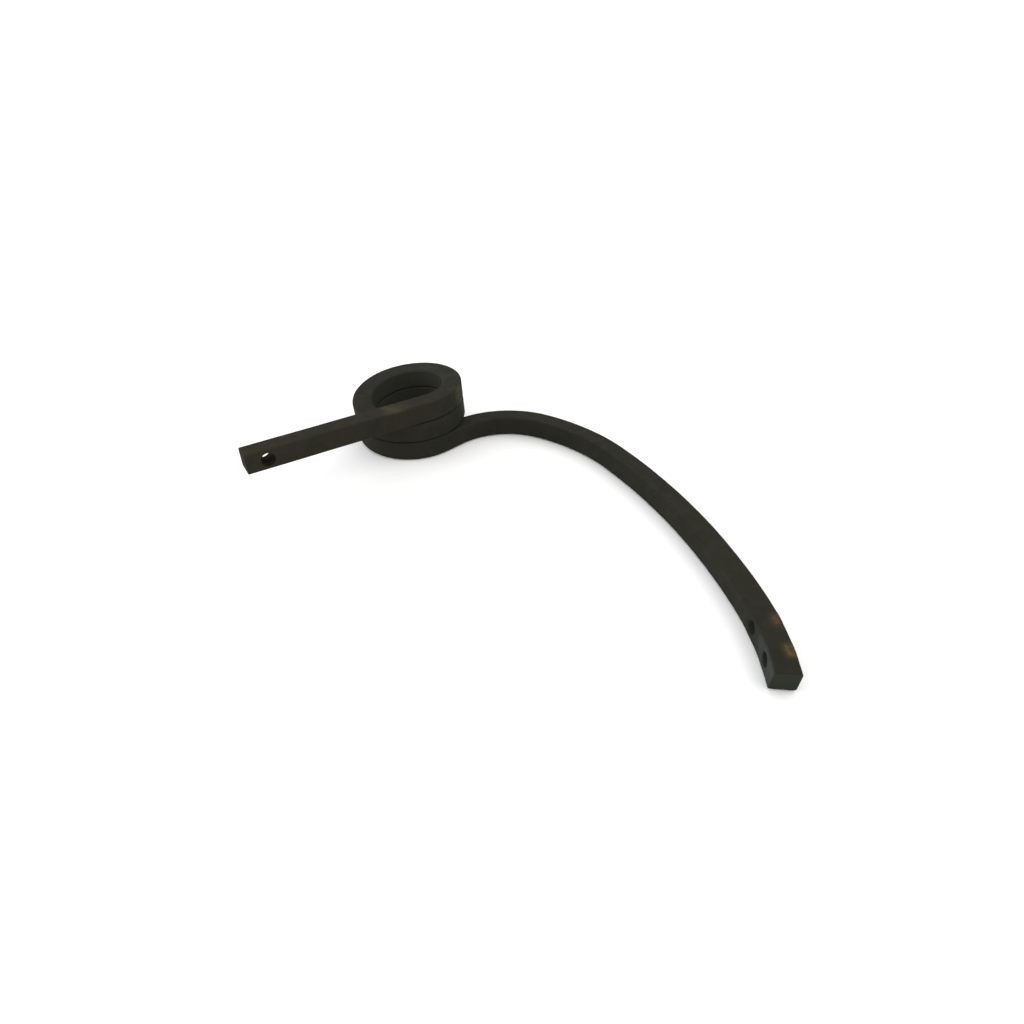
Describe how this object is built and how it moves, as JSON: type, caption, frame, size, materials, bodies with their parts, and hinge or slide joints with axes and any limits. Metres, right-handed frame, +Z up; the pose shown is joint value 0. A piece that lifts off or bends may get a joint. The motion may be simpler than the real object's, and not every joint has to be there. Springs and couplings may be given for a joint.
{
  "type": "cultivator spring tine",
  "caption": "Bent square-bar spring tine with a close-wound coil between a straight bolted shank and a curved leg drilled for a share",
  "frame": {"origin": "centre of the bolt hole near the shank's free end, half way through the bar", "axes": "+X runs along the shank towards the coil; +Z is up as the tine lies at rest, square to the flat plane that holds the whole leg; +Y points to the side of the shank that the coil's centre is on, so the leg reaches out to -Y"},
  "size_m": [0.4231, 0.6649, 0.0802],
  "materials": {
    "spring_steel": "thin dark coating over heat-treatment scale, rubbed and rust-stained"
  },
  "bodies": {
    "root": {"spring_tine": "spring_steel"}
  },
  "joints": []
}
